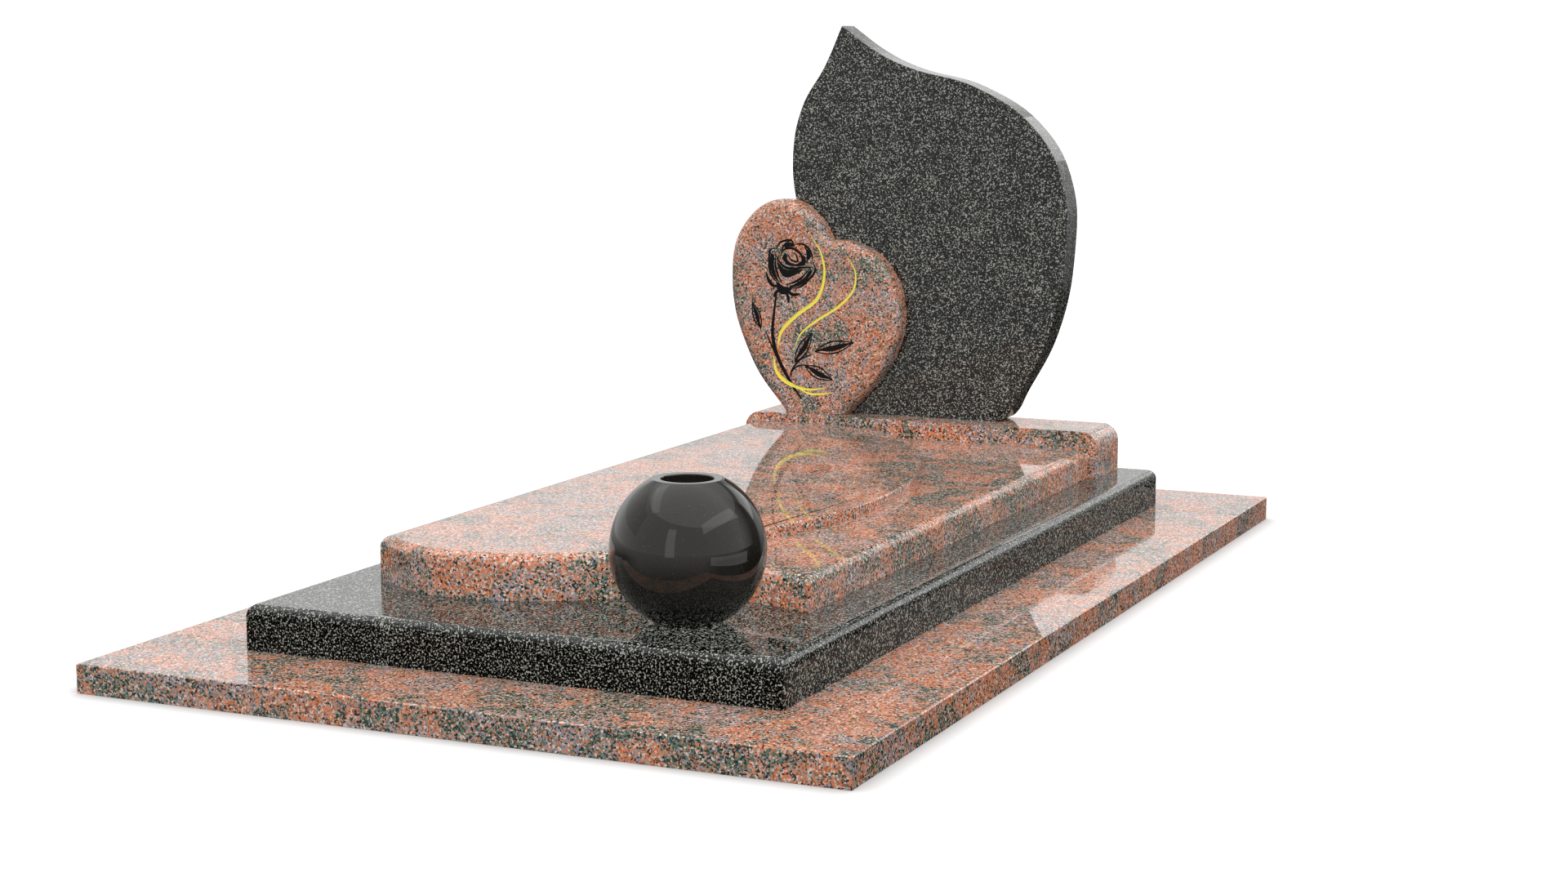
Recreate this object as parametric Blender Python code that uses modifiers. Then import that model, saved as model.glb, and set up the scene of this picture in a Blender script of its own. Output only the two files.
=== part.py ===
"""Grave monument: granite footing, plinth, stepped grave slab, headstone with a heart, and a ball vase.

Metres, Z up. X runs across the grave, Y along it with the headstone at +Y, and the ground is z = 0.
The outlines are Bezier curves through a few measured points, in metres.
"""

import math

import bmesh
import bpy

# Fit between pieces that touch or rest on each other
GAP = 0.0003

# Plinth: one plate on the footing's inner edges
PLINTH_LENGTH = 2.00
PLINTH_WIDTH = 1.00
PLINTH_THICKNESS = 0.08
PLINTH_ROUND = 0.02

# Footing: four flat slabs laid round the grave, which reach out past the plinth by a margin
FOOTING_MARGIN = 0.20
FOOTING_RAIL = 0.25
FOOTING_THICKNESS = 0.05
FOOTING_CHAMFER = 0.002
FOOTING_LENGTH = PLINTH_LENGTH + 2 * FOOTING_MARGIN
FOOTING_WIDTH = PLINTH_WIDTH + 2 * FOOTING_MARGIN

# Grave slab: a thinner plate with a thicker leaf-shaped field on it
SLAB_WIDTH = 0.80
SLAB_FRONT_RIGHT_Y = -0.672
SLAB_BACK_Y = 0.82
SLAB_THICKNESS = 0.06
LEAF_THICKNESS = 0.08
SLAB_ROUND = 0.02
STEP_ROUND = 0.004

# Headstone base: a bar behind the slab
BASE_LENGTH = 0.84
BASE_DEPTH = 0.15
BASE_THICKNESS = 0.10
BASE_END_ROUND = 0.036
BASE_EDGE_ROUND = 0.005

# Headstone: an upright leaf with a pointed tip
HEADSTONE_HEIGHT = 0.87
HEADSTONE_THICKNESS = 0.07
HEADSTONE_SETBACK = 0.069
HEADSTONE_CHAMFER = 0.0015

# Heart, standing on the base against the headstone's face
HEART_THICKNESS = 0.05
HEART_ROUND = 0.024

# Ball vase with a drilled bore, standing on the plinth at the slab's cut-back corner
VASE_RADIUS = 0.13
VASE_STRETCH = 1.02
VASE_RIM_RADIUS = 0.060
VASE_FOOT_RADIUS = 0.053
VASE_BORE_RADIUS = 0.0435
VASE_BORE_DEPTH = 0.17
VASE_EDGE_ROUND = 0.003
VASE_X = 0.245
VASE_Y = -0.815

# Two places nearer than this count as the same, and faces that bend less count as one
NEAR = 0.0001
FLAT_ANGLE = 0.001

# Smoothness of the curved outlines and of turned pieces, and the angle that stays a crease
CURVE_STEPS = 8
ROUND_SEGMENTS = 4
HEART_SEGMENTS = 5
BASE_END_SEGMENTS = 8
BASE_EDGE_SEGMENTS = 3
TURNED_STEPS = 60
PROFILE_STEPS = 18
STONE_CREASE = 35
VASE_CREASE = 20

# Heights of the layers, each resting on the one below
FOOTING_TOP = FOOTING_THICKNESS
PLINTH_BOTTOM = FOOTING_TOP + GAP
PLINTH_TOP = PLINTH_BOTTOM + PLINTH_THICKNESS
RESTING_Z = PLINTH_TOP + GAP
BASE_TOP = RESTING_Z + BASE_THICKNESS
STONE_Z = BASE_TOP + GAP

# Depths of the upright stones
BASE_FRONT_Y = SLAB_BACK_Y + GAP
BASE_BACK_Y = BASE_FRONT_Y + BASE_DEPTH
HEADSTONE_FRONT_Y = BASE_FRONT_Y + HEADSTONE_SETBACK
HEART_BACK_Y = HEADSTONE_FRONT_Y - GAP

# Leaf-shaped field seen from above: X, Y and whether the outline bends sharply there
HALF_SLAB = SLAB_WIDTH / 2
LEAF_OUTLINE = (
    (-HALF_SLAB, -0.737, True),
    (-0.222, -0.815, False),
    (0.045, -0.708, False),
    (0.200, -0.365, False),
    (0.256, -0.030, False),
    (0.178, 0.390, False),
    (0.064, 0.612, False),
    (-0.050, 0.758, False),
    (-0.190, SLAB_BACK_Y, True),
    (-HALF_SLAB, SLAB_BACK_Y, True),
)
# The part of the leaf's rim that is a low step, not the slab's outer edge, starts at this Y
STEP_FROM_Y = -0.64
STEP_FULL_Y = -0.50

# Thin right-hand part of the slab, whose left side lies inside the leaf
SLAB_HIDDEN_X = -0.25
THIN_OUTLINE = (
    (HALF_SLAB, SLAB_FRONT_RIGHT_Y, True),
    (HALF_SLAB, SLAB_BACK_Y, True),
    (SLAB_HIDDEN_X, SLAB_BACK_Y, True),
    (SLAB_HIDDEN_X, -0.50, True),
    (0.050, -0.56, True),
    (0.265, -0.634, False),
    (0.335, -0.653, True),
)

# Headstone seen from the front: X, height above the base, sharp or not
HEADSTONE_OUTLINE = (
    (-0.214, HEADSTONE_HEIGHT, True),
    (-0.254, 0.783, False),
    (-0.312, 0.686, False),
    (-0.334, 0.570, False),
    (-0.318, 0.440, False),
    (-0.268, 0.210, False),
    (-0.218, 0.0, True),
    (0.165, 0.0, True),
    (0.184, 0.010, False),
    (0.214, 0.062, False),
    (0.282, 0.195, False),
    (0.318, 0.380, False),
    (0.3095, 0.530, False),
    (0.246, 0.645, False),
    (0.107, 0.736, False),
    (-0.053, 0.779, False),
    (-0.128, 0.812, False),
)

# Heart seen from the front: X, height above the base, sharp or not
HEART_OUTLINE = (
    (-0.336, 0.0, True),
    (-0.421, 0.115, False),
    (-0.471, 0.310, False),
    (-0.436, 0.430, False),
    (-0.343, 0.483, False),
    (-0.258, 0.441, False),
    (-0.228, 0.394, True),
    (-0.165, 0.388, False),
    (-0.088, 0.334, False),
    (-0.054, 0.227, False),
    (-0.085, 0.119, False),
    (-0.186, 0.0, True),
)


def start_scene(name):
    """Empty the scene and make the part's collection."""
    for old in list(bpy.data.objects):
        bpy.data.objects.remove(old, do_unlink=True)
    part = bpy.data.collections.new(name)
    bpy.context.scene.collection.children.link(part)
    return part


def stone(name, colour, roughness):
    """Make a stone material."""
    material = bpy.data.materials.new(name)
    material.use_nodes = True
    shader = material.node_tree.nodes["Principled BSDF"]
    shader.inputs["Base Color"].default_value = (*colour, 1.0)
    shader.inputs["Roughness"].default_value = roughness
    shader.inputs["Metallic"].default_value = 0.0
    material.diffuse_color = (*colour, 1.0)
    return material


def add_piece(part, name, mesh, material):
    """Put a mesh in the part's collection as a named piece."""
    piece = bpy.data.objects.new(name, mesh)
    piece.data.materials.clear()
    piece.data.materials.append(material)
    part.objects.link(piece)
    return piece


def block_mesh(name, low, high):
    """Make a box between two corners."""
    shape = bmesh.new()
    bmesh.ops.create_cube(shape, size=1.0)
    for vertex in shape.verts:
        vertex.co = [a + (b - a) * (c + 0.5) for a, b, c in zip(low, high, vertex.co)]
    mesh = bpy.data.meshes.new(name)
    shape.to_mesh(mesh)
    shape.free()
    return mesh


def outline_mesh(name, outline, thickness):
    """Extrude a closed outline, drawn in X and Y, from z = 0 up to the thickness."""
    curve = bpy.data.curves.new(name + "_outline", "CURVE")
    curve.dimensions = "2D"
    curve.fill_mode = "BOTH"
    curve.extrude = thickness / 2
    curve.resolution_u = CURVE_STEPS
    curve.render_resolution_u = CURVE_STEPS
    spline = curve.splines.new("BEZIER")
    spline.bezier_points.add(len(outline) - 1)
    spline.use_cyclic_u = True
    for point, (x, y, _) in zip(spline.bezier_points, outline):
        point.co = (x, y, 0.0)
        point.handle_left_type = "AUTO"
        point.handle_right_type = "AUTO"
    make_corners(spline, outline)
    drawn = bpy.data.objects.new(name + "_outline", curve)
    bpy.context.scene.collection.objects.link(drawn)
    bpy.context.view_layer.update()
    evaluated = drawn.evaluated_get(bpy.context.evaluated_depsgraph_get())
    mesh = bpy.data.meshes.new_from_object(evaluated)
    bpy.data.objects.remove(drawn, do_unlink=True)
    shape = bmesh.new()
    shape.from_mesh(mesh)
    bmesh.ops.remove_doubles(shape, verts=shape.verts, dist=NEAR / 2)
    bmesh.ops.translate(shape, verts=shape.verts, vec=(0.0, 0.0, thickness / 2))
    flat_edges = [edge for edge in shape.edges if edge.is_manifold and edge.calc_face_angle() < FLAT_ANGLE]
    bmesh.ops.dissolve_edges(shape, edges=flat_edges, use_verts=False)
    bmesh.ops.recalc_face_normals(shape, faces=shape.faces)
    shape.to_mesh(mesh)
    shape.free()
    return mesh


def make_corners(spline, outline):
    """Turn sharp points into corners: straight between two of them, curved towards a smooth one."""
    count = len(outline)
    for index, (_, _, sharp) in enumerate(outline):
        if not sharp:
            continue
        point = spline.bezier_points[index]
        before = spline.bezier_points[index - 1]
        after = spline.bezier_points[(index + 1) % count]
        point.handle_left_type = "VECTOR"
        point.handle_right_type = "VECTOR"
        if outline[index - 1][2]:
            before.handle_right_type = "VECTOR"
        if outline[(index + 1) % count][2]:
            after.handle_left_type = "VECTOR"


def round_edges(piece, width, segments, share):
    """Round the edges for which share(edge) gives more than nothing, by that share of the width."""
    shape = bmesh.new()
    shape.from_mesh(piece.data)
    layer = shape.edges.layers.float.new("bevel_weight_edge")
    for edge in shape.edges:
        edge[layer] = share(edge)
    shape.to_mesh(piece.data)
    shape.free()
    bevel = piece.modifiers.new("round", "BEVEL")
    bevel.limit_method = "WEIGHT"
    bevel.width = width
    bevel.segments = segments
    bevel.miter_outer = "MITER_SHARP"
    bevel.use_clamp_overlap = False


def soften(piece, degrees):
    """Shade the piece smooth, with edges over the angle kept sharp."""
    bpy.context.view_layer.update()
    evaluated = piece.evaluated_get(bpy.context.evaluated_depsgraph_get())
    mesh = bpy.data.meshes.new_from_object(evaluated)
    material = piece.data.materials[0]
    piece.modifiers.clear()
    piece.data = mesh
    piece.data.materials.clear()
    piece.data.materials.append(material)
    piece.data.shade_smooth()
    piece.data.set_sharp_from_angle(angle=math.radians(degrees))


def is_level(edge, height):
    """Tell whether an edge lies flat at a height."""
    return all(abs(vertex.co.z - height) < NEAR for vertex in edge.verts)


def make_footing(part, material):
    """Lay the four footing slabs, the long sides between the front and back ones."""
    half_width = FOOTING_WIDTH / 2
    half_length = FOOTING_LENGTH / 2
    side_end = half_length - FOOTING_RAIL - GAP
    spans = {
        "footing_front": ((-half_width, -half_length), (half_width, -half_length + FOOTING_RAIL)),
        "footing_back": ((-half_width, half_length - FOOTING_RAIL), (half_width, half_length)),
        "footing_left": ((-half_width, -side_end), (-half_width + FOOTING_RAIL, side_end)),
        "footing_right": ((half_width - FOOTING_RAIL, -side_end), (half_width, side_end)),
    }
    for name, (low, high) in spans.items():
        mesh = block_mesh(name, (*low, 0.0), (*high, FOOTING_TOP))
        piece = add_piece(part, name, mesh, material)
        round_edges(piece, FOOTING_CHAMFER, 1, lambda edge: float(is_level(edge, FOOTING_TOP)))


def make_plinth(part, material):
    """Make the plinth plate with its top edges rounded."""
    low = (-PLINTH_WIDTH / 2, -PLINTH_LENGTH / 2, PLINTH_BOTTOM)
    high = (PLINTH_WIDTH / 2, PLINTH_LENGTH / 2, PLINTH_TOP)
    piece = add_piece(part, "plinth", block_mesh("plinth", low, high), material)
    round_edges(piece, PLINTH_ROUND, ROUND_SEGMENTS, lambda edge: float(is_level(edge, PLINTH_TOP)))
    soften(piece, STONE_CREASE)


def rim_share(edge, top):
    """Give the slab's rim its full rounding, but not at the back, where the base stands."""
    at_back = all(vertex.co.y > SLAB_BACK_Y - NEAR for vertex in edge.verts)
    return float(is_level(edge, top) and not at_back)


def leaf_share(edge):
    """Give the leaf's rim its full rounding outside and only a slight one along the step."""
    full = rim_share(edge, LEAF_THICKNESS)
    middle = (edge.verts[0].co + edge.verts[1].co) / 2
    if middle.x < -HALF_SLAB + NEAR:
        return full
    along = (middle.y - STEP_FROM_Y) / (STEP_FULL_Y - STEP_FROM_Y)
    return full * (1.0 + (STEP_ROUND / SLAB_ROUND - 1.0) * min(max(along, 0.0), 1.0))


def make_slab(part, cutters, material):
    """Join the leaf-shaped field and the thin part into one slab."""
    piece = add_piece(part, "slab", outline_mesh("slab", LEAF_OUTLINE, LEAF_THICKNESS), material)
    round_edges(piece, SLAB_ROUND, ROUND_SEGMENTS, leaf_share)
    thin_mesh = outline_mesh("slab_thin_part", THIN_OUTLINE, SLAB_THICKNESS)
    thin = add_piece(cutters, "slab_thin_part", thin_mesh, material)
    round_edges(thin, SLAB_ROUND, ROUND_SEGMENTS, lambda edge: rim_share(edge, SLAB_THICKNESS))
    thin.hide_render = True
    thin.display_type = "WIRE"
    join = piece.modifiers.new("thin_part", "BOOLEAN")
    join.operation = "UNION"
    join.solver = "EXACT"
    join.object = thin
    thin.location.z = RESTING_Z
    piece.location.z = RESTING_Z
    soften(piece, STONE_CREASE)


def make_base(part, material):
    """Make the headstone's base, a bar with rounded upper ends."""
    low = (-BASE_LENGTH / 2, BASE_FRONT_Y, RESTING_Z)
    high = (BASE_LENGTH / 2, BASE_BACK_Y, BASE_TOP)
    piece = add_piece(part, "headstone_base", block_mesh("headstone_base", low, high), material)

    def end_share(edge):
        first, second = (vertex.co for vertex in edge.verts)
        return float(is_level(edge, BASE_TOP) and abs(first.x - second.x) < NEAR)

    round_edges(piece, BASE_END_ROUND, BASE_END_SEGMENTS, end_share)
    soften(piece, STONE_CREASE)

    def front_share(edge):
        in_front = all(abs(vertex.co.y - BASE_FRONT_Y) < NEAR for vertex in edge.verts)
        above_foot = all(vertex.co.z > BASE_TOP - BASE_END_ROUND - NEAR for vertex in edge.verts)
        return float(in_front and above_foot)

    round_edges(piece, BASE_EDGE_ROUND, BASE_EDGE_SEGMENTS, front_share)
    soften(piece, STONE_CREASE)


def stand_up(piece, front_y, thickness):
    """Turn a flat extruded outline upright, with its top face to the front at front_y."""
    piece.rotation_euler = (math.radians(90), 0.0, 0.0)
    piece.location = (0.0, front_y + thickness, STONE_Z)


def stands_on(edge):
    """Tell whether an edge of an upright stone's flat drawing is part of its foot."""
    return all(vertex.co.y < NEAR for vertex in edge.verts)


def make_headstone(part, material):
    """Make the upright leaf with its pointed tip."""
    mesh = outline_mesh("headstone", HEADSTONE_OUTLINE, HEADSTONE_THICKNESS)
    piece = add_piece(part, "headstone", mesh, material)
    stand_up(piece, HEADSTONE_FRONT_Y, HEADSTONE_THICKNESS)

    def share(edge):
        at_face = is_level(edge, HEADSTONE_THICKNESS) or is_level(edge, 0.0)
        return float(at_face and not stands_on(edge))

    round_edges(piece, HEADSTONE_CHAMFER, 1, share)
    soften(piece, STONE_CREASE)


def make_heart(part, material):
    """Make the heart with its front edge rounded over."""
    mesh = outline_mesh("heart", HEART_OUTLINE, HEART_THICKNESS)
    piece = add_piece(part, "heart", mesh, material)
    stand_up(piece, HEART_BACK_Y - HEART_THICKNESS, HEART_THICKNESS)

    def share(edge):
        return float(is_level(edge, HEART_THICKNESS) and not stands_on(edge))

    round_edges(piece, HEART_ROUND, HEART_SEGMENTS, share)
    soften(piece, STONE_CREASE)


def vase_profile():
    """Give the vase's half section, from the bore's floor over the rim and down the ball to the foot."""
    half_height = VASE_RADIUS * VASE_STRETCH
    rim_angle = math.acos(VASE_RIM_RADIUS / VASE_RADIUS)
    foot_angle = -math.acos(VASE_FOOT_RADIUS / VASE_RADIUS)
    centre = -half_height * math.sin(foot_angle)
    top = centre + half_height * math.sin(rim_angle)
    section = [
        (0.0, top - VASE_BORE_DEPTH),
        (VASE_BORE_RADIUS, top - VASE_BORE_DEPTH),
        (VASE_BORE_RADIUS, top - VASE_EDGE_ROUND),
        (VASE_BORE_RADIUS + VASE_EDGE_ROUND, top),
        (VASE_RIM_RADIUS - VASE_EDGE_ROUND, top),
    ]
    for index in range(PROFILE_STEPS + 1):
        angle = rim_angle + (foot_angle - rim_angle) * index / PROFILE_STEPS
        section.append((VASE_RADIUS * math.cos(angle), centre + half_height * math.sin(angle)))
    section.append((0.0, 0.0))
    return section


def make_vase(part, material):
    """Turn the vase from its half section."""
    shape = bmesh.new()
    points = [shape.verts.new((radius, 0.0, height)) for radius, height in vase_profile()]
    for first, second in zip(points[:-1], points[1:]):
        shape.edges.new((first, second))
    mesh = bpy.data.meshes.new("vase")
    shape.to_mesh(mesh)
    shape.free()
    piece = add_piece(part, "vase", mesh, material)
    piece.location = (VASE_X, VASE_Y, RESTING_Z)
    turn = piece.modifiers.new("turn", "SCREW")
    turn.steps = TURNED_STEPS
    turn.render_steps = TURNED_STEPS
    turn.use_merge_vertices = True
    turn.merge_threshold = NEAR
    turn.use_normal_calculate = True
    soften(piece, VASE_CREASE)


def main():
    """Build the monument."""
    part = start_scene("grave_monument")
    cutters = bpy.data.collections.new("shapes_joined_in")
    bpy.context.scene.collection.children.link(cutters)
    pink = stone("pink_granite", (0.42, 0.20, 0.13), 0.12)
    grey = stone("dark_grey_granite", (0.06, 0.06, 0.055), 0.12)
    black = stone("black_granite", (0.02, 0.019, 0.018), 0.08)
    make_footing(part, pink)
    make_plinth(part, grey)
    make_slab(part, cutters, pink)
    make_base(part, pink)
    make_headstone(part, grey)
    make_heart(part, pink)
    make_vase(part, black)


main()
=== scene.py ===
"""Looks of the grave monument: polished granites, the heart's inlaid rose and the ball vase."""

import math

import bmesh
import bpy
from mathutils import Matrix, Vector, geometry


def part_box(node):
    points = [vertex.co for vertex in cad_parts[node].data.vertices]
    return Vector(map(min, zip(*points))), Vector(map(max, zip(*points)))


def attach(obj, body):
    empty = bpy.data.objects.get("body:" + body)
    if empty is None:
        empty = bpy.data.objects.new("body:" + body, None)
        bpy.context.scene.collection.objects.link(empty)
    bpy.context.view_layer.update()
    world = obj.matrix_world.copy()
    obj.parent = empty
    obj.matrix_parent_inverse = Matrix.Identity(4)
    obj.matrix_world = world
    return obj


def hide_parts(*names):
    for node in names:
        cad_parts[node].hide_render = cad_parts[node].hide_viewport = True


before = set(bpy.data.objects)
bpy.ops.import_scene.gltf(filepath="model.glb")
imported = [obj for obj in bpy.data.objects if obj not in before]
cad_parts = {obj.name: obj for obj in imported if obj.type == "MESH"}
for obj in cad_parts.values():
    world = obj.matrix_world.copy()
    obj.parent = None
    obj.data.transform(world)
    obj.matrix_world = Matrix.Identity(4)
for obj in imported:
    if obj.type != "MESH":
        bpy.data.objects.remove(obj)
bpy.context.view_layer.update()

# Camera that took the picture: place, degrees below level and to the left, lens, frame and reach
CAMERA_PLACE = (2.15959, -4.65734, 1.08935)
CAMERA_TILT = 8.73
CAMERA_TURN = 24.39
CAMERA_LENS = 61.299
CAMERA_FRAME = 36.0
CAMERA_REACH = 200.0

# Brightness of the studio that the polished faces mirror
FRONT_LIGHT = 0.84
WALL_LIGHT = 1.14
CEILING_LIGHT = 1.35
BACKDROP_LIGHT = 1.15

# Direction of the ceiling, slightly tilted, and the cosines between which it begins
CEILING_WAY = (0.101, 0.044, 0.994)
CEILING_EDGE = (0.652, 0.664)

# Rear wall: it dims to the right in two steps, and grows brighter upwards to a peak
REAR_LEFT_STEP = (-0.20, -0.05, 1.0, 0.75)
REAR_RIGHT_STEP = (0.34, 0.44, 1.0, 0.15)
REAR_RISE = (1.8, 0.66)
REAR_PEAK = 0.30
REAR_FALL = -5.0
REAR_LEAST = 0.45

# Mirrored floor, which fades below the horizon: steepness, light at the horizon and least light
REAR_FLOOR = (2.8, 0.64, 0.02)
SIDE_FLOOR = (4.0, 0.75, 0.12)
FRONT_FLOOR = (1.0, 0.72, 0.12)

# Where the front turns into the sides and these into the rear, on the floor and on the walls
FLOOR_FRONT_TURN = (-0.65, -0.25)
FLOOR_REAR_TURN = (0.2, 0.6)
WALL_FRONT_TURN = (-0.75, 0.35)
WALL_REAR_TURN = (0.4, 0.75)

# Bright panels that the polished faces mirror: the axis of their wall, which side it is on, the
# axes across and up the wall, their ranges as shares of its distance, and how much they add
X, Y, Z = 0, 1, 2
PANELS = (
    (Z, 1.0, X, Y, (-0.83, -0.55), (-0.58, 0.40), 0.6),
    (Y, -1.0, X, Z, (-0.12, 0.12), (-0.04, 0.72), 0.8),
    (Y, 1.0, X, Z, (-0.02, 0.45), (0.22, 0.60), 0.85),
    (X, 1.0, Y, Z, (-0.78, 0.78), (0.70, 1.12), 0.9),
    (X, 1.0, Y, Z, (-0.60, 0.60), (-0.28, -0.06), 0.75),
    (X, -1.0, Y, Z, (-0.60, 1.00), (0.29, 0.95), -0.25),
)

# Soft light on the stones from the studio's four corners, more from above and less from below
SOFT_FRONT_LEFT = 0.74
SOFT_FRONT_RIGHT = 1.52
SOFT_BACK_LEFT = 0.85
SOFT_BACK_RIGHT = 0.75
SOFT_TOP = 0.64
SOFT_LOW = 0.15
# Where it turns from left to right, from front to back, and towards the light from above
SOFT_ACROSS = (-0.4, 0.4)
SOFT_ALONG = (-0.6, 0.3)
SOFT_UP = (0.3, 0.8)

# Floor: its side, how far it lies below the footing, and how near a stone its painted contact
# shadow reaches and how dark it is
FLOOR_SIDE = 60.0
FLOOR_DROP = 0.0005
PAINTED_SHADOW_REACH = 0.045
PAINTED_SHADOW_SAMPLES = 16
PAINTED_SHADOW_LEVELS = (0.4, 1.0, 0.62, 0.87)

# Points nearer than this are one, and faces that bend less than this are one
WELD = 0.00001
FLAT = math.radians(0.4)


class Graph:
    """Short way to add shader nodes and join them."""

    def __init__(self, tree):
        self.tree = tree
        tree.nodes.clear()

    def add(self, kind, inputs=None, **settings):
        node = self.tree.nodes.new(kind)
        for key, value in settings.items():
            setattr(node, key, value)
        for key, value in (inputs or {}).items():
            self.feed(node.inputs[key], value)
        return node

    def feed(self, socket, value):
        if isinstance(value, bpy.types.NodeSocket):
            self.tree.links.new(value, socket)
        else:
            socket.default_value = value

    def math(self, operation, first, second=0.0, third=0.0):
        inputs = {0: first, 1: second, 2: third}
        return self.add("ShaderNodeMath", inputs, operation=operation).outputs[0]

    def vector_math(self, operation, first, second):
        """Work on vectors; the second value is a number when the operation is SCALE."""
        second_key = "Scale" if operation == "SCALE" else 1
        node = self.add("ShaderNodeVectorMath", {0: first, second_key: second}, operation=operation)
        return node.outputs["Value" if operation == "DOT_PRODUCT" else "Vector"]

    def coordinates(self, kind="Object"):
        return self.add("ShaderNodeTexCoord").outputs[kind]

    def axes(self, vector):
        return self.add("ShaderNodeSeparateXYZ", {"Vector": vector}).outputs

    def between(self, value, low, high, to_low=0.0, to_high=1.0):
        """Map a value between two limits to between two others."""
        inputs = {"Value": value, "From Min": low, "From Max": high}
        inputs.update({"To Min": to_low, "To Max": to_high})
        return self.add("ShaderNodeMapRange", inputs).outputs["Result"]

    def blend(self, factor, first, second):
        node = self.add("ShaderNodeMix", data_type="RGBA")
        self.feed(node.inputs[0], factor)
        self.feed(node.inputs[6], first)
        self.feed(node.inputs[7], second)
        return node.outputs[2]

    def noise(self, vector, scale, detail=2.0, roughness=0.5, distortion=0.0):
        inputs = {"Vector": vector, "Scale": scale, "Detail": detail, "Roughness": roughness}
        return self.add("ShaderNodeTexNoise", {**inputs, "Distortion": distortion}).outputs

    def ramp(self, value, stops, smooth=False):
        node = self.add("ShaderNodeValToRGB", {"Fac": value})
        line = node.color_ramp
        line.interpolation = "LINEAR" if smooth else "CONSTANT"
        while len(line.elements) < len(stops):
            line.elements.new(0.5)
        for element, (place, colour) in zip(line.elements, stops):
            element.position = place
            element.color = (*colour, 1.0)
        return node.outputs["Color"]

    def bump(self, height, strength, distance):
        inputs = {"Height": height, "Strength": strength, "Distance": distance}
        return self.add("ShaderNodeBump", inputs).outputs[0]

    def principled(self, colour, rough, bump):
        """Finish a material with one shader and give the shader's inputs."""
        inputs = {"Base Color": colour, "Roughness": rough, "Normal": bump}
        shader = self.add("ShaderNodeBsdfPrincipled", inputs)
        self.add("ShaderNodeOutputMaterial", {"Surface": shader.outputs[0]})
        return shader.inputs


def shade(level):
    """Turn a screen value from 0 to 255 into the light that it stands for."""
    part = level / 255
    return part / 12.92 if part <= 0.04045 else ((part + 0.055) / 1.055) ** 2.4


def tint(red, green, blue):
    """Turn a screen colour into linear light."""
    return shade(red), shade(green), shade(blue)


def new_material(name):
    """Make an empty material and the graph that its nodes go in."""
    material = bpy.data.materials.new(name)
    material.use_nodes = True
    return material, Graph(material.node_tree)


def stone_coordinates(graph, offset, warp_scale, warp):
    """Give coordinates in metres that differ from stone to stone, plain and slightly bent."""
    inputs = {"Vector": graph.coordinates(), "Location": offset}
    moved = graph.add("ShaderNodeMapping", inputs).outputs[0]
    wave = graph.noise(moved, warp_scale)["Color"]
    centred = graph.vector_math("SUBTRACT", wave, (0.5, 0.5, 0.5))
    bent = graph.vector_math("ADD", moved, graph.vector_math("SCALE", centred, warp))
    return moved, bent


# Polish: how mirror-like, how much relief its crystals leave, and where a change of shine ends
STONE_IOR = 1.5
POLISH_BUMP = (0.02, 0.0001)
SHINE_FADE = 0.01


def side_shine(graph, side, top, turn, beyond=None):
    """Give less shine to faces that don't look up, if asked only beyond a place across."""
    upward = graph.axes(graph.coordinates("Normal"))[2]
    shine = graph.between(upward, *turn, side, top)
    if beyond is not None:
        across = graph.axes(graph.coordinates())[0]
        inside = graph.between(across, beyond, beyond + SHINE_FADE, top, side)
        shine = graph.math("MAXIMUM", shine, inside)
    return shine


def polish(graph, colour, vector, relief, roughness=(0.012, 0.03), shine=None):
    """Finish a stone: near-mirror polish that varies a little and a trace of relief."""
    wear = graph.noise(vector, 14.0, 3.0)["Fac"]
    rough = graph.between(wear, 0.3, 0.7, *roughness)
    finish = graph.principled(colour, rough, graph.bump(relief, *POLISH_BUMP))
    finish["IOR"].default_value = STONE_IOR
    if shine:
        graph.feed(finish["Specular IOR Level"], side_shine(graph, *shine))


# Crystals of the pink granite, from dark mica to orange feldspar
BLACK_MICA = tint(22, 26, 23)
GREEN_BLACK = tint(38, 58, 48)
GREY_GREEN = tint(90, 118, 98)
RUST = tint(174, 94, 62)
TAN = tint(152, 124, 106)
LILAC_GREY = tint(156, 152, 166)
PALE = tint(230, 206, 192)
SALMON = tint(206, 148, 118)
ORANGE = tint(221, 127, 80)

ORANGE_ZONE = (
    (0.00, BLACK_MICA), (0.07, GREEN_BLACK), (0.13, GREY_GREEN), (0.21, LILAC_GREY),
    (0.29, RUST), (0.42, PALE), (0.55, SALMON), (0.76, ORANGE),
)
GREEN_ZONE = (
    (0.00, BLACK_MICA), (0.12, GREEN_BLACK), (0.32, GREY_GREEN), (0.57, LILAC_GREY),
    (0.68, TAN), (0.78, PALE), (0.87, SALMON), (0.94, ORANGE),
)
LILAC_ZONE = (
    (0.00, BLACK_MICA), (0.08, GREEN_BLACK), (0.18, GREY_GREEN), (0.30, LILAC_GREY),
    (0.57, TAN), (0.67, PALE), (0.80, SALMON), (0.90, ORANGE),
)

# Pink granite: crystals in a metre, their bend, and the green clouds and lilac mist as scale,
# detail, roughness and distortion, with the noise values between which each begins
PINK_CRYSTALS = 330.0
PINK_WARP = (150.0, 0.006)
PINK_CLOUDS = (8.0, 5.0, 0.66, 0.8)
PINK_CLOUD_EDGE = (0.485, 0.55)
PINK_MIST = (9.0, 5.0, 0.64, 0.6)
PINK_MIST_EDGE = (0.52, 0.58)
MIST_SHIFT = (3.1, 1.7, 2.3)
# Fine change of brightness: scale and spread
PINK_FINE = (900.0, 0.30)


def uneven(graph, colour, vector, scale, spread, gain):
    """Vary the brightness of a colour finely about its gain."""
    fine = graph.noise(vector, scale, 1.0)["Fac"]
    level = graph.between(fine, 0.25, 0.75, (1 - spread) * gain, (1 + spread) * gain)
    return graph.vector_math("SCALE", colour, level)


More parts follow.
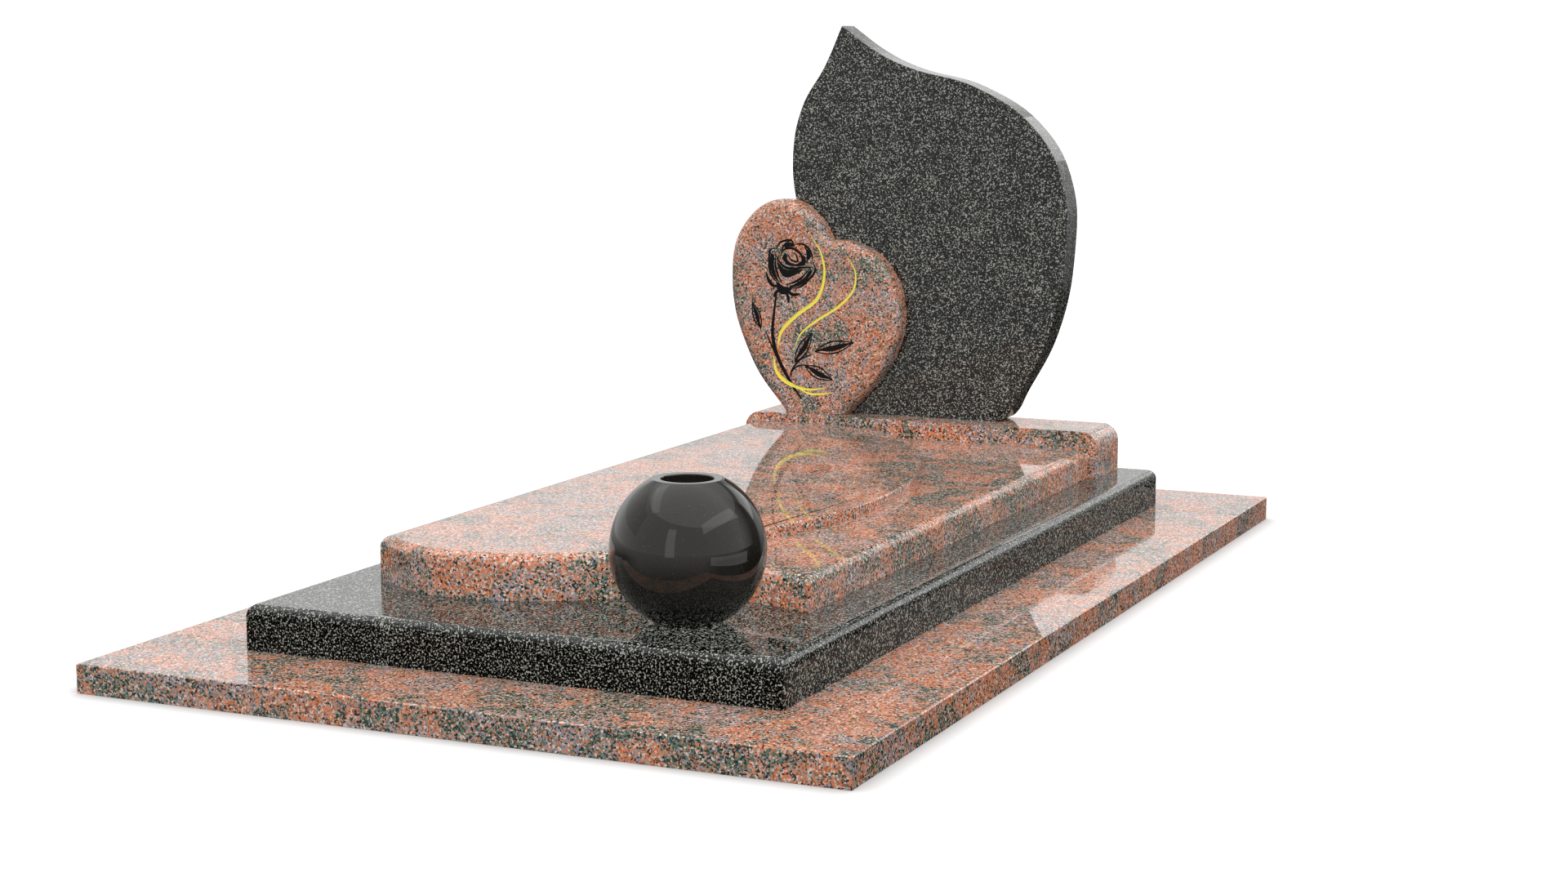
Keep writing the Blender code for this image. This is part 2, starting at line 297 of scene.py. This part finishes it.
def pink_granite(name, offset, gain, crystals=PINK_CRYSTALS, shine=None):
    """Pink granite: crystals of nine colours whose shares change from cloud to cloud."""
    material, graph = new_material(name)
    moved, bent = stone_coordinates(graph, offset, *PINK_WARP)
    cells = graph.add("ShaderNodeTexVoronoi", {"Vector": bent, "Scale": crystals})
    parts = graph.add("ShaderNodeSeparateColor", {"Color": cells.outputs["Color"]})
    chance = parts.outputs[0]
    green = graph.between(graph.noise(moved, *PINK_CLOUDS)["Fac"], *PINK_CLOUD_EDGE)
    far = graph.vector_math("ADD", moved, MIST_SHIFT)
    lilac = graph.between(graph.noise(far, *PINK_MIST)["Fac"], *PINK_MIST_EDGE)
    colour = graph.blend(green, graph.ramp(chance, ORANGE_ZONE), graph.ramp(chance, GREEN_ZONE))
    colour = graph.blend(lilac, colour, graph.ramp(chance, LILAC_ZONE))
    colour = uneven(graph, colour, bent, *PINK_FINE, gain)
    polish(graph, colour, moved, parts.outputs[1], shine=shine)
    return material


# Dark granite: bend, form of the grains, their slow drift, fine change of brightness, and colours
DARK_WARP = (120.0, 0.004)
DARK_GRAIN_FORM = (1.5, 0.55, 0.3)
DARK_DRIFT = (11.0, 3.0)
DARK_DRIFT_RANGE = (0.3, 0.7, -0.012, 0.012)
DARK_FINE = (700.0, 0.15)
DARK_GRAINS = (
    (0.46, tint(2, 2, 1)), (0.535, tint(9, 9, 7)),
    (0.575, tint(92, 95, 88)), (0.62, tint(184, 187, 177)),
)


def dark_granite(name, offset, gain, grains, shine=None):
    """Dark grey granite: near-black ground with worm-like light grains."""
    material, graph = new_material(name)
    moved, bent = stone_coordinates(graph, offset, *DARK_WARP)
    grain = graph.noise(bent, grains, *DARK_GRAIN_FORM)["Fac"]
    drift = graph.between(graph.noise(moved, *DARK_DRIFT)["Fac"], *DARK_DRIFT_RANGE)
    colour = graph.ramp(graph.math("ADD", grain, drift), DARK_GRAINS, smooth=True)
    colour = uneven(graph, colour, bent, *DARK_FINE, gain)
    polish(graph, colour, moved, grain, shine=shine)
    return material


# Black granite: cells in a metre, how many bear a speck, its radius in a cell, and colours
SPECK_CELLS = 240.0
SPECK_SHARE = 0.5
SPECK_RADIUS = (0.04, 0.13)
SPECK_KINDS = ((0.0, tint(132, 100, 58)), (0.45, tint(112, 72, 50)), (0.7, tint(128, 126, 118)))
BLACK_GRAIN = (260.0, 2.0, 0.6)
BLACK_GROUND = ((0.35, tint(25, 24, 21)), (0.65, tint(33, 31, 27)))
VASE_POLISH = (0.01, 0.02)


def black_granite(name):
    """Black granite of the vase: almost no grain, with sparse copper and white specks."""
    material, graph = new_material(name)
    place = graph.coordinates()
    cells = graph.add("ShaderNodeTexVoronoi", {"Vector": place, "Scale": SPECK_CELLS})
    parts = graph.add("ShaderNodeSeparateColor", {"Color": cells.outputs["Color"]})
    radius = graph.between(parts.outputs[1], 0.0, 1.0, *SPECK_RADIUS)
    near = graph.math("LESS_THAN", cells.outputs["Distance"], radius)
    chosen = graph.math("GREATER_THAN", parts.outputs[0], SPECK_SHARE)
    specks = graph.ramp(parts.outputs[2], SPECK_KINDS)
    grain = graph.noise(place, *BLACK_GRAIN)["Fac"]
    ground = graph.ramp(grain, BLACK_GROUND, smooth=True)
    colour = graph.blend(graph.math("MULTIPLY", near, chosen), ground, specks)
    polish(graph, colour, place, grain, VASE_POLISH)
    return material


# Paint and gold in the cut lines: relief, unevenness, colours, and how matt or metallic they are
INLAY_BUMP = (0.3, 0.0003)
PAINT_COAT = (700.0, 3.0, 0.6)
PAINT_COLOURS = ((0.3, tint(6, 6, 7)), (0.7, tint(20, 19, 20)))
PAINT_ROUGHNESS = (0.4, 0.6)
PAINT_SHINE = 0.15
GOLD_SLANT = {"Rotation": (0.0, math.radians(35), 0.0), "Scale": (1.0, 1.0, 4.0)}
GOLD_STROKES = 420.0
GOLD_COLOURS = ((0.3, tint(250, 226, 60)), (0.5, tint(255, 246, 84)), (0.7, tint(255, 252, 140)))
GOLD_ROUGHNESS = (0.28, 0.42)
GOLD_METAL = 0.1


def black_paint():
    """Matt black paint in the cut lines, a little uneven."""
    material, graph = new_material("black_paint")
    coat = graph.noise(graph.coordinates(), *PAINT_COAT)["Fac"]
    colour = graph.ramp(coat, PAINT_COLOURS, smooth=True)
    rough = graph.between(coat, 0.3, 0.7, *PAINT_ROUGHNESS)
    finish = graph.principled(colour, rough, graph.bump(coat, *INLAY_BUMP))
    finish["Specular IOR Level"].default_value = PAINT_SHINE
    return material


def gold_leaf():
    """Bright gold in the ribbons, laid in short diagonal strokes."""
    material, graph = new_material("gold_leaf")
    inputs = {"Vector": graph.coordinates(), **GOLD_SLANT}
    slant = graph.add("ShaderNodeMapping", inputs).outputs[0]
    strokes = graph.noise(slant, GOLD_STROKES)["Fac"]
    colour = graph.ramp(strokes, GOLD_COLOURS, smooth=True)
    rough = graph.between(strokes, 0.3, 0.7, *GOLD_ROUGHNESS)
    finish = graph.principled(colour, rough, graph.bump(strokes, *INLAY_BUMP))
    finish["Metallic"].default_value = GOLD_METAL
    return material


def new_piece(name, mesh, node):
    """Show a mesh in place of a CAD node."""
    piece = bpy.data.objects.new(name, mesh)
    bpy.context.scene.collection.objects.link(piece)
    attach(piece, "root")
    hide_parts(node)
    return piece


# Angles in degrees that stay creases, and the weight that lets large flat faces lead the shading
STONE_CREASE = 35.0
VASE_CREASE = 40.0
LARGE_FACES_LEAD = 100


def even_normals(piece, crease):
    """Shade a piece smooth over its roundings while its flat faces stay true mirrors."""
    piece.data.shade_smooth()
    piece.data.set_sharp_from_angle(angle=math.radians(crease))
    weighted = piece.modifiers.new("true_faces", "WEIGHTED_NORMAL")
    weighted.mode = "FACE_AREA"
    weighted.weight = LARGE_FACES_LEAD
    weighted.keep_sharp = True


def plain_mesh(name, shape):
    """Give a shape's points and faces as a mesh, without the shading that the CAD solid had."""
    shape.verts.index_update()
    mesh = bpy.data.meshes.new(name)
    faces = [[vertex.index for vertex in face.verts] for face in shape.faces]
    mesh.from_pydata([vertex.co.copy() for vertex in shape.verts], [], faces)
    for polygon, face in zip(mesh.polygons, shape.faces):
        polygon.material_index = face.material_index
    shape.free()
    return mesh


def joined_shape(node):
    """Take a CAD node's surface with its triangles joined up again into whole faces."""
    shape = bmesh.new()
    shape.from_mesh(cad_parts[node].data)
    bmesh.ops.remove_doubles(shape, verts=shape.verts, dist=WELD)
    bmesh.ops.dissolve_limit(shape, angle_limit=FLAT, verts=shape.verts, edges=shape.edges)
    return shape


def polished_piece(node, name, material):
    """Show a CAD node's form with smooth roundings."""
    mesh = plain_mesh(name, joined_shape(node))
    mesh.materials.append(material)
    even_normals(new_piece(name, mesh, node), STONE_CREASE)


def smooth_line(points, steps):
    """Run a smooth line through a few points, as a list of points."""
    ends = [points[0], *points, points[-1]]
    line = []
    for index in range(1, len(ends) - 2):
        before, first, second, after = (Vector(ends[index + k]) for k in (-1, 0, 1, 2))
        for step in range(steps):
            t = step / steps
            line.append(0.5 * (2 * first + (second - before) * t
                               + (2 * before - 5 * first + 4 * second - after) * t * t
                               + (3 * first - before - 3 * second + after) * t ** 3))
    line.append(Vector(points[-1]))
    return line


def brush(points, width, peak=0.5, tail=0.15, steps=6):
    """Give the outline of a brush stroke, widest at its peak and pointed at its ends."""
    line = smooth_line(points, steps)
    left, right = [], []
    count = len(line) - 1
    for index, point in enumerate(line):
        along = index / count
        ahead = line[min(index + 1, count)] - line[max(index - 1, 0)]
        side = Vector((-ahead.y, ahead.x)).normalized()
        rise = along / peak if along < peak else (1.0 - along) / (1.0 - peak)
        half = width / 2 * (tail + (1.0 - tail) * math.sin(rise * math.pi / 2))
        left.append(point + side * half)
        right.append(point - side * half)
    return left + right[::-1]


def leaf(base, tip, width):
    """Draw a leaf: two edges, a bold midrib, one shaded half and a few veins."""
    base, tip = Vector(base), Vector(tip)
    along = tip - base
    side = Vector((-along.y, along.x)).normalized() * width / 2
    strokes = []
    for sign in (1.0, -1.0):
        low = base + along * 0.3 + side * sign * 0.95
        edge = [base, low, base + along * 0.62 + side * sign, tip]
        strokes.append(brush(edge, 0.0036, tail=0.5))
    midrib = [base, base + along * 0.45 + side * 0.12, tip]
    strokes.append(brush(midrib, 0.0068, peak=0.4, tail=0.3))
    middle = base + along * 0.5 - side * 0.42
    shaded = [base + along * 0.12, middle, base + along * 0.86 - side * 0.1]
    strokes.append(brush(shaded, width * 0.30, tail=0.1))
    for part in (0.30, 0.55):
        vein = [base + along * part, base + along * (part + 0.16) + side * 0.75]
        strokes.append(brush(vein, 0.0028, tail=0.4))
    return strokes


def turned(points, centre, angle, size):
    """Turn, enlarge and place points that were drawn round zero, in millimetres."""
    cosine, sine = math.cos(angle) * size / 1000, math.sin(angle) * size / 1000
    return [Vector((centre[0] + x * cosine + z * sine, centre[1] - x * sine + z * cosine))
            for x, z in points]


ROSE_CENTRE = (-0.318, 0.561)
ROSE_TURN = math.radians(20)
ROSE_SIZE = 1.36
# Rose head: strokes as points and width, in millimetres round its middle
ROSE_STROKES = (
    (((-10, -33), (-26, -26), (-37, -9), (-43, 13), (-33, 22)), 4.2),
    (((10, -33), (27, -25), (38, -8), (45, 12), (35, 24)), 4.2),
    (((-33, 22), (-30, 33), (-14, 43), (-3, 35)), 4.0),
    (((-7, 38), (10, 45), (27, 38), (35, 24)), 4.0),
    (((-33, 12), (-20, 1), (-6, -3), (9, 1), (23, 9), (38, 15)), 5.0),
    (((-31, 9), (-25, -8), (-14, -22), (-2, -31)), 4.0),
    (((33, 11), (27, -6), (15, -21), (2, -31)), 4.0),
    (((-22, 7), (-21, 22), (-8, 31), (9, 29), (17, 19), (10, 9)), 4.4),
    (((-13, 21), (-3, 13), (9, 14), (4, 23), (-6, 25)), 3.4),
    (((-14, 42), (-21, 33), (-25, 20)), 3.4),
    (((12, 44), (22, 33), (26, 17)), 3.4),
    (((-5, -36), (-18, -40), (-29, -34), (-38, -23)), 6.4),
    (((6, -36), (20, -41), (33, -34)), 6.0),
    (((-2, -38), (-9, -49), (-10, -58)), 5.4),
    (((5, -38), (14, -48), (19, -57)), 5.4),
)
# Rose head: dark hollows between the petals and the calyx, as closed outlines
ROSE_HOLLOWS = (
    ((-41, 10), (-33, 7), (-28, -8), (-18, -22), (-9, -31), (-24, -25), (-35, -9)),
    ((41, 10), (35, 8), (30, -6), (20, -20), (10, -31), (25, -24), (36, -8)),
    ((-27, 3), (-10, -6), (6, -3), (24, 6), (11, -11), (-4, -19), (-18, -10)),
    ((-19, 10), (-6, 2), (10, 6), (24, 14), (21, 26), (14, 27), (16, 16), (5, 8), (-8, 10),
     (-15, 20)),
    ((-16, -30), (0, -34), (16, -30), (11, -42), (2, -48), (-8, -44)),
    ((-22, 32), (-12, 40), (-5, 35), (-12, 32), (-19, 26)),
    ((12, 41), (20, 36), (26, 24), (30, 30), (24, 38)),
)
# Stem and twigs as points and width, leaves as base, tip and width, in metres on the heart's face
STEM_STROKES = (
    (((-0.350, 0.508), (-0.357, 0.459), (-0.361, 0.407), (-0.350, 0.360),
      (-0.326, 0.315), (-0.307, 0.286), (-0.288, 0.262)), 0.0088),
    (((-0.379, 0.414), (-0.364, 0.382), (-0.350, 0.352)), 0.0040),
    (((-0.320, 0.304), (-0.311, 0.330), (-0.292, 0.352), (-0.262, 0.366)), 0.0044),
    (((-0.314, 0.322), (-0.298, 0.337), (-0.272, 0.341)), 0.0040),
)
LEAVES = (
    ((-0.390, 0.418), (-0.412, 0.479), 0.016),
    ((-0.306, 0.345), (-0.262, 0.415), 0.021),
    ((-0.256, 0.372), (-0.160, 0.397), 0.024),
    ((-0.280, 0.338), (-0.212, 0.309), 0.023),
)
# Ribbons as points, width, and where along them they are widest
RIBBONS = (
    (((-0.268, 0.637), (-0.241, 0.595), (-0.233, 0.545), (-0.251, 0.492),
      (-0.300, 0.454), (-0.338, 0.416), (-0.349, 0.374)), 0.0086, 0.72),
    (((-0.180, 0.593), (-0.158, 0.558), (-0.162, 0.516), (-0.198, 0.477),
      (-0.250, 0.444), (-0.290, 0.412), (-0.306, 0.377)), 0.0060, 0.55),
    (((-0.359, 0.358), (-0.350, 0.321), (-0.318, 0.295), (-0.272, 0.285),
      (-0.224, 0.292)), 0.0086, 0.35),
    (((-0.296, 0.285), (-0.262, 0.275), (-0.208, 0.281)), 0.0050, 0.5),
)
INLAY_DEPTH = 0.0012
STONE, INK, GOLD = 0, 1, 2
# The cut keeps every triangle inside the outlines, and takes points nearer than this as one
CUT_INSIDE = 1
CUT_WELD = 1e-6


def heart_drawing():
    """Give every shape of the heart's inlay as a closed outline with its colour."""
    shapes = []
    for points, width in ROSE_STROKES:
        line = turned(points, ROSE_CENTRE, ROSE_TURN, ROSE_SIZE)
        shapes.append((brush(line, width * ROSE_SIZE / 1000), INK))
    for points in ROSE_HOLLOWS:
        corners = turned(points + points[:1], ROSE_CENTRE, ROSE_TURN, ROSE_SIZE)
        shapes.append((smooth_line(corners, 4)[:-1], INK))
    for points, width in STEM_STROKES:
        shapes.append((brush(points, width, tail=0.35), INK))
    for base, tip, width in LEAVES:
        shapes.extend((outline, INK) for outline in leaf(base, tip, width))
    for points, width, peak in RIBBONS:
        shapes.append((brush(points, width, peak, 0.05, steps=8), GOLD))
    return shapes


def anticlockwise(outline):
    """Give an outline in the order that turns to the left."""
    area = sum(a[0] * b[1] - b[0] * a[1] for a, b in zip(outline, outline[1:] + outline[:1]))
    return outline if area > 0 else outline[::-1]


def heart_piece(stone, ink, gold):
    """Show the heart with its rose and ribbons sunk into the polished face."""
    shape = joined_shape("heart")
    face = min(shape.faces, key=lambda f: (f.calc_center_median().y, -f.calc_area()))
    front = face.calc_center_median().y
    rim = [vertex.co.xz for vertex in face.verts]
    shape.faces.remove(face)
    points, faces, colours = [], [], []
    for outline, colour in [(rim, STONE), *heart_drawing()]:
        outline = anticlockwise(outline)
        faces.append(list(range(len(points), len(points) + len(outline))))
        points.extend(outline)
        colours.append(colour)
    cut = geometry.delaunay_2d_cdt(points, [], faces, CUT_INSIDE, CUT_WELD)
    flat, triangles, origins = cut[0], cut[2], cut[5]
    top = [shape.verts.new((x, front, z)) for x, z in flat]
    sunk, walls = {}, {}
    for corners, origin in zip(triangles, origins):
        kind = max(colours[number] for number in origin)
        for first, second in zip(corners, corners[1:] + corners[:1]):
            walls.setdefault(frozenset((first, second)), []).append((kind, first, second))
        if kind != STONE:
            for corner in corners:
                x, z = flat[corner]
                if corner not in sunk:
                    sunk[corner] = shape.verts.new((x, front + INLAY_DEPTH, z))
        source = top if kind == STONE else sunk
        made = shape.faces.new([source[corner] for corner in corners])
        made.material_index = kind
    for sides in walls.values():
        inked = [side for side in sides if side[0] != STONE]
        if len(inked) == 1 and len(sides) == 2:
            kind, first, second = inked[0]
            wall = shape.faces.new([sunk[first], sunk[second], top[second], top[first]])
            wall.material_index = kind
    bmesh.ops.remove_doubles(shape, verts=shape.verts, dist=WELD)
    bmesh.ops.recalc_face_normals(shape, faces=shape.faces)
    mesh = plain_mesh("heart_with_rose", shape)
    for material in (stone, ink, gold):
        mesh.materials.append(material)
    even_normals(new_piece("heart_with_rose", mesh, "heart"), STONE_CREASE)


# Ball vase: the CAD solid's sizes, turned finer and with its rim edges eased
VASE_STEPS = 144
VASE_RINGS = 72
VASE_RADIUS = 0.13
VASE_FOOT_RADIUS = 0.053
VASE_RIM_RADIUS = 0.060
VASE_BORE_RADIUS = 0.0435
VASE_BORE_DEPTH = 0.17
VASE_RIM_ROUND = 0.0022
VASE_BORE_ROUND = 4 * VASE_RIM_ROUND
# The rim's outer rounding turns half-way down, then meets the ball just outside the rim
RIM_INSET = 1.4 * VASE_RIM_ROUND
RIM_OUTSET = 0.0004
ROUND_STEPS = 5


def quarter(centre, radius, start, end):
    """Give the points of a small rounding between two angles in degrees."""
    points = []
    for step in range(ROUND_STEPS + 1):
        angle = math.radians(start + (end - start) * step / ROUND_STEPS)
        points.append((centre[0] + radius * math.cos(angle), centre[1] + radius * math.sin(angle)))
    return points


def vase_piece(material):
    """Turn the ball vase, with a drilled bore and eased edges at the rim and at the bore's floor.
    """
    low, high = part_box("vase")
    centre = (low + high) / 2
    below = math.sqrt(VASE_RADIUS ** 2 - VASE_FOOT_RADIUS ** 2)
    above = math.sqrt(VASE_RADIUS ** 2 - VASE_RIM_RADIUS ** 2)
    stretch = (high.z - low.z) / (below + above)
    middle = low.z + stretch * below
    floor = high.z - VASE_BORE_DEPTH
    ease, well = VASE_RIM_ROUND, VASE_BORE_ROUND
    section = [(0.0, floor)]
    section += quarter((VASE_BORE_RADIUS - well, floor + well), well, -90, 0)
    section += quarter((VASE_BORE_RADIUS + ease, high.z - ease), ease, 180, 90)
    section += quarter((VASE_RIM_RADIUS - RIM_INSET, high.z - ease), ease, 90, 45)
    rim_angle = math.acos((VASE_RIM_RADIUS + RIM_OUTSET) / VASE_RADIUS)
    foot_angle = -math.acos(VASE_FOOT_RADIUS / VASE_RADIUS)
    for ring in range(VASE_RINGS + 1):
        angle = rim_angle + (foot_angle - rim_angle) * ring / VASE_RINGS
        height = middle + VASE_RADIUS * stretch * math.sin(angle)
        section.append((VASE_RADIUS * math.cos(angle), height))
    section.append((0.0, low.z))
    shape = bmesh.new()
    rings = []
    for radius, height in section:
        ring = []
        for step in range(VASE_STEPS if radius else 1):
            angle = 2 * math.pi * step / VASE_STEPS
            x = centre.x + radius * math.cos(angle)
            y = centre.y + radius * math.sin(angle)
            ring.append(shape.verts.new((x, y, height)))
        rings.append(ring)
    for inner, outer in zip(rings[:-1], rings[1:]):
        for step in range(VASE_STEPS):
            after = (step + 1) % VASE_STEPS
            if len(inner) == 1:
                shape.faces.new((inner[0], outer[step], outer[after]))
            elif len(outer) == 1:
                shape.faces.new((inner[step], outer[0], inner[after]))
            else:
                shape.faces.new((inner[step], outer[step], outer[after], inner[after]))
    bmesh.ops.recalc_face_normals(shape, faces=shape.faces)
    mesh = bpy.data.meshes.new("ball_vase")
    shape.to_mesh(mesh)
    shape.free()
    mesh.materials.append(material)
    piece = new_piece("ball_vase", mesh, "vase")
    even_normals(piece, VASE_CREASE)
    # The photo's even light leaves no shade round the vase
    piece.visible_shadow = False
    piece.visible_diffuse = False


def make_world():
    """Light the studio: soft light on the stones, and a room of its own for their mirrors."""
    world = bpy.data.worlds.new("studio")
    bpy.context.scene.world = world
    world.use_nodes = True
    graph = Graph(world.node_tree)
    way = graph.coordinates("Generated")
    axes = graph.axes(way)
    x, y, z = axes[X], axes[Y], axes[Z]
    rays = graph.add("ShaderNodeLightPath").outputs

    def choose(factor, first, second):
        """Go from the first value to the second as the factor goes from 0 to 1."""
        return graph.math("MULTIPLY_ADD", graph.math("SUBTRACT", second, first), factor, first)

    def slope(value, steepness, start, least):
        """Go up in a straight line, and never below a least value."""
        return graph.math("MAXIMUM", graph.math("MULTIPLY_ADD", value, steepness, start), least)

    def panel(wall, sign, across, up, across_range, up_range):
        """Tell where a rectangle on one wall of a room around the object is."""
        depth = graph.math("MULTIPLY", axes[wall], sign)
        mask = graph.math("GREATER_THAN", depth, 0.01)
        for axis, (low, high) in ((across, across_range), (up, up_range)):
            ratio = graph.math("DIVIDE", axes[axis], depth)
            off = graph.math("ABSOLUTE", graph.math("SUBTRACT", ratio, (low + high) / 2))
            mask = graph.math("MULTIPLY", mask, graph.math("LESS_THAN", off, (high - low) / 2))
        return mask

    # Rear wall: brightest at the left and half-way up, nearly dark at the far right
    leftmost = graph.between(x, *REAR_LEFT_STEP)
    rightmost = graph.between(x, *REAR_RIGHT_STEP)
    side = graph.math("MULTIPLY", leftmost, rightmost)
    rise = graph.math("MULTIPLY_ADD", z, *REAR_RISE)
    rise = graph.math("MULTIPLY_ADD", slope(z, 1.0, -REAR_PEAK, 0.0), REAR_FALL, rise)
    rear_high = graph.math("MULTIPLY", graph.math("MAXIMUM", rise, REAR_LEAST), side)
    rear_low = graph.math("MULTIPLY", slope(z, *REAR_FLOOR), side)
    # Below the horizon the mirrored floor fades away, slowly in front and fast at the sides
    ahead = graph.between(y, *FLOOR_FRONT_TURN, 1.0, 0.0)
    near_low = choose(ahead, slope(z, *SIDE_FLOOR), slope(z, *FRONT_FLOOR))
    low = choose(graph.between(y, *FLOOR_REAR_TURN), near_low, rear_low)
    near_high = graph.between(y, *WALL_FRONT_TURN, FRONT_LIGHT, WALL_LIGHT)
    walls = choose(graph.between(y, *WALL_REAR_TURN), near_high, rear_high)
    above = graph.math("GREATER_THAN", z, 0.0)
    mirrored = choose(above, low, walls)
    ceiling = graph.between(graph.vector_math("DOT_PRODUCT", way, CEILING_WAY), *CEILING_EDGE)
    mirrored = graph.math("MULTIPLY_ADD", ceiling, CEILING_LIGHT - FRONT_LIGHT, mirrored)
    for *place, extra in PANELS:
        mirrored = graph.math("MULTIPLY_ADD", panel(*place), extra, mirrored)
    right = graph.between(x, *SOFT_ACROSS)
    soft_front = choose(right, SOFT_FRONT_LEFT, SOFT_FRONT_RIGHT)
    soft_back = choose(right, SOFT_BACK_LEFT, SOFT_BACK_RIGHT)
    soft = choose(graph.between(y, *SOFT_ALONG), soft_front, soft_back)
    soft = graph.math("MULTIPLY_ADD", graph.between(z, *SOFT_UP), SOFT_TOP, soft)
    soft = choose(above, SOFT_LOW, soft)
    light = choose(rays["Is Glossy Ray"], soft, mirrored)
    light = choose(rays["Is Camera Ray"], light, BACKDROP_LIGHT)
    sky = graph.add("ShaderNodeBackground", {"Color": (1.0, 1.0, 1.0, 1.0), "Strength": light})
    graph.add("ShaderNodeOutputWorld", {"Surface": sky.outputs[0]})


def make_floor():
    """Lay the plain pale floor; it takes the real contact shadow, and its colour is also darkened
    near the stones as painted shadow.
    """
    shape = bmesh.new()
    bmesh.ops.create_grid(shape, x_segments=2, y_segments=2, size=FLOOR_SIDE / 2)
    mesh = bpy.data.meshes.new("floor")
    shape.to_mesh(mesh)
    shape.free()
    floor = bpy.data.objects.new("floor", mesh)
    bpy.context.scene.collection.objects.link(floor)
    floor.location.z = -FLOOR_DROP
    material, graph = new_material("pale_floor_with_painted_shadow")
    # Painted contact shadow: the floor's colour turns grey where a stone stands within reach of the
    # occlusion node
    reach = {"Distance": PAINTED_SHADOW_REACH}
    near = graph.add("ShaderNodeAmbientOcclusion", reach, samples=PAINTED_SHADOW_SAMPLES).outputs["AO"]
    level = graph.between(near, *PAINTED_SHADOW_LEVELS)
    grey = graph.add("ShaderNodeCombineColor", dict.fromkeys(("Red", "Green", "Blue"), level))
    shader = graph.add("ShaderNodeBsdfDiffuse", {"Color": grey.outputs[0]})
    graph.add("ShaderNodeOutputMaterial", {"Surface": shader.outputs[0]})
    mesh.materials.append(material)
    floor.visible_glossy = False
    floor.visible_diffuse = False


def make_camera():
    """Put the camera where the photo was taken."""
    camera = bpy.data.cameras.new("camera")
    camera.sensor_width = CAMERA_FRAME
    camera.lens = CAMERA_LENS
    camera.clip_end = CAMERA_REACH
    holder = bpy.data.objects.new("camera", camera)
    holder.location = CAMERA_PLACE
    holder.rotation_euler = (math.radians(90 - CAMERA_TILT), 0.0, math.radians(CAMERA_TURN))
    bpy.context.scene.collection.objects.link(holder)
    bpy.context.scene.camera = holder


def dress(node, material):
    """Give a CAD node its stone."""
    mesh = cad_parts[node].data
    for slot in range(len(mesh.materials)):
        mesh.materials[slot] = material


# Footing stones: node, material, place in the pattern, and brightness
FOOTING_STONES = (
    ("footing_front", "pink_granite_front", (2.6, 1.4, 0.8), 0.99),
    ("footing_back", "pink_granite_back", (7.0, 1.0, 2.0), 1.0),
    ("footing_left", "pink_granite_left", (3.0, 8.0, 1.0), 1.0),
    ("footing_right", "pink_granite_right", (5.0, 2.6, 4.0), 1.06),
)
# Shine of the sides and of the top, how far up a face looks between them, and from where across
SLAB_SHINE = (0.22, 0.5, (0.90, 0.99), 0.36)
PLINTH_SHINE = (0.04, 0.40, (0.15, 0.55))
# Crystals or grains in a metre, and brightness of the dark stones
HEART_CRYSTALS = 360.0
PLINTH_GRAINS = 295.0
HEADSTONE_GRAINS = 310.0
DARK_GAIN = 0.80


def main():
    """Set up the studio and show every stone."""
    bpy.context.scene.view_settings.view_transform = "Standard"
    make_camera()
    make_world()
    make_floor()
    for node, name, offset, gain in FOOTING_STONES:
        dress(node, pink_granite(name, offset, gain))
    slab = pink_granite("pink_granite_slab", (2.2, 5.3, 6.0), 1.01, shine=SLAB_SHINE)
    polished_piece("slab", "grave_slab", slab)
    base = pink_granite("pink_granite_base", (9.0, 3.0, 3.0), 1.05)
    polished_piece("headstone_base", "stone_base", base)
    place = (0.0, 0.0, 0.0)
    plinth = dark_granite("dark_granite_plinth", place, DARK_GAIN, PLINTH_GRAINS, PLINTH_SHINE)
    polished_piece("plinth", "plinth_plate", plinth)
    place = (4.0, 2.0, 6.0)
    headstone = dark_granite("dark_granite_headstone", place, DARK_GAIN, HEADSTONE_GRAINS)
    polished_piece("headstone", "leaf_headstone", headstone)
    heart = pink_granite("pink_granite_heart", (2.5, 6.0, 8.3), 0.99, HEART_CRYSTALS)
    heart_piece(heart, black_paint(), gold_leaf())
    vase_piece(black_granite("black_granite_vase"))


main()
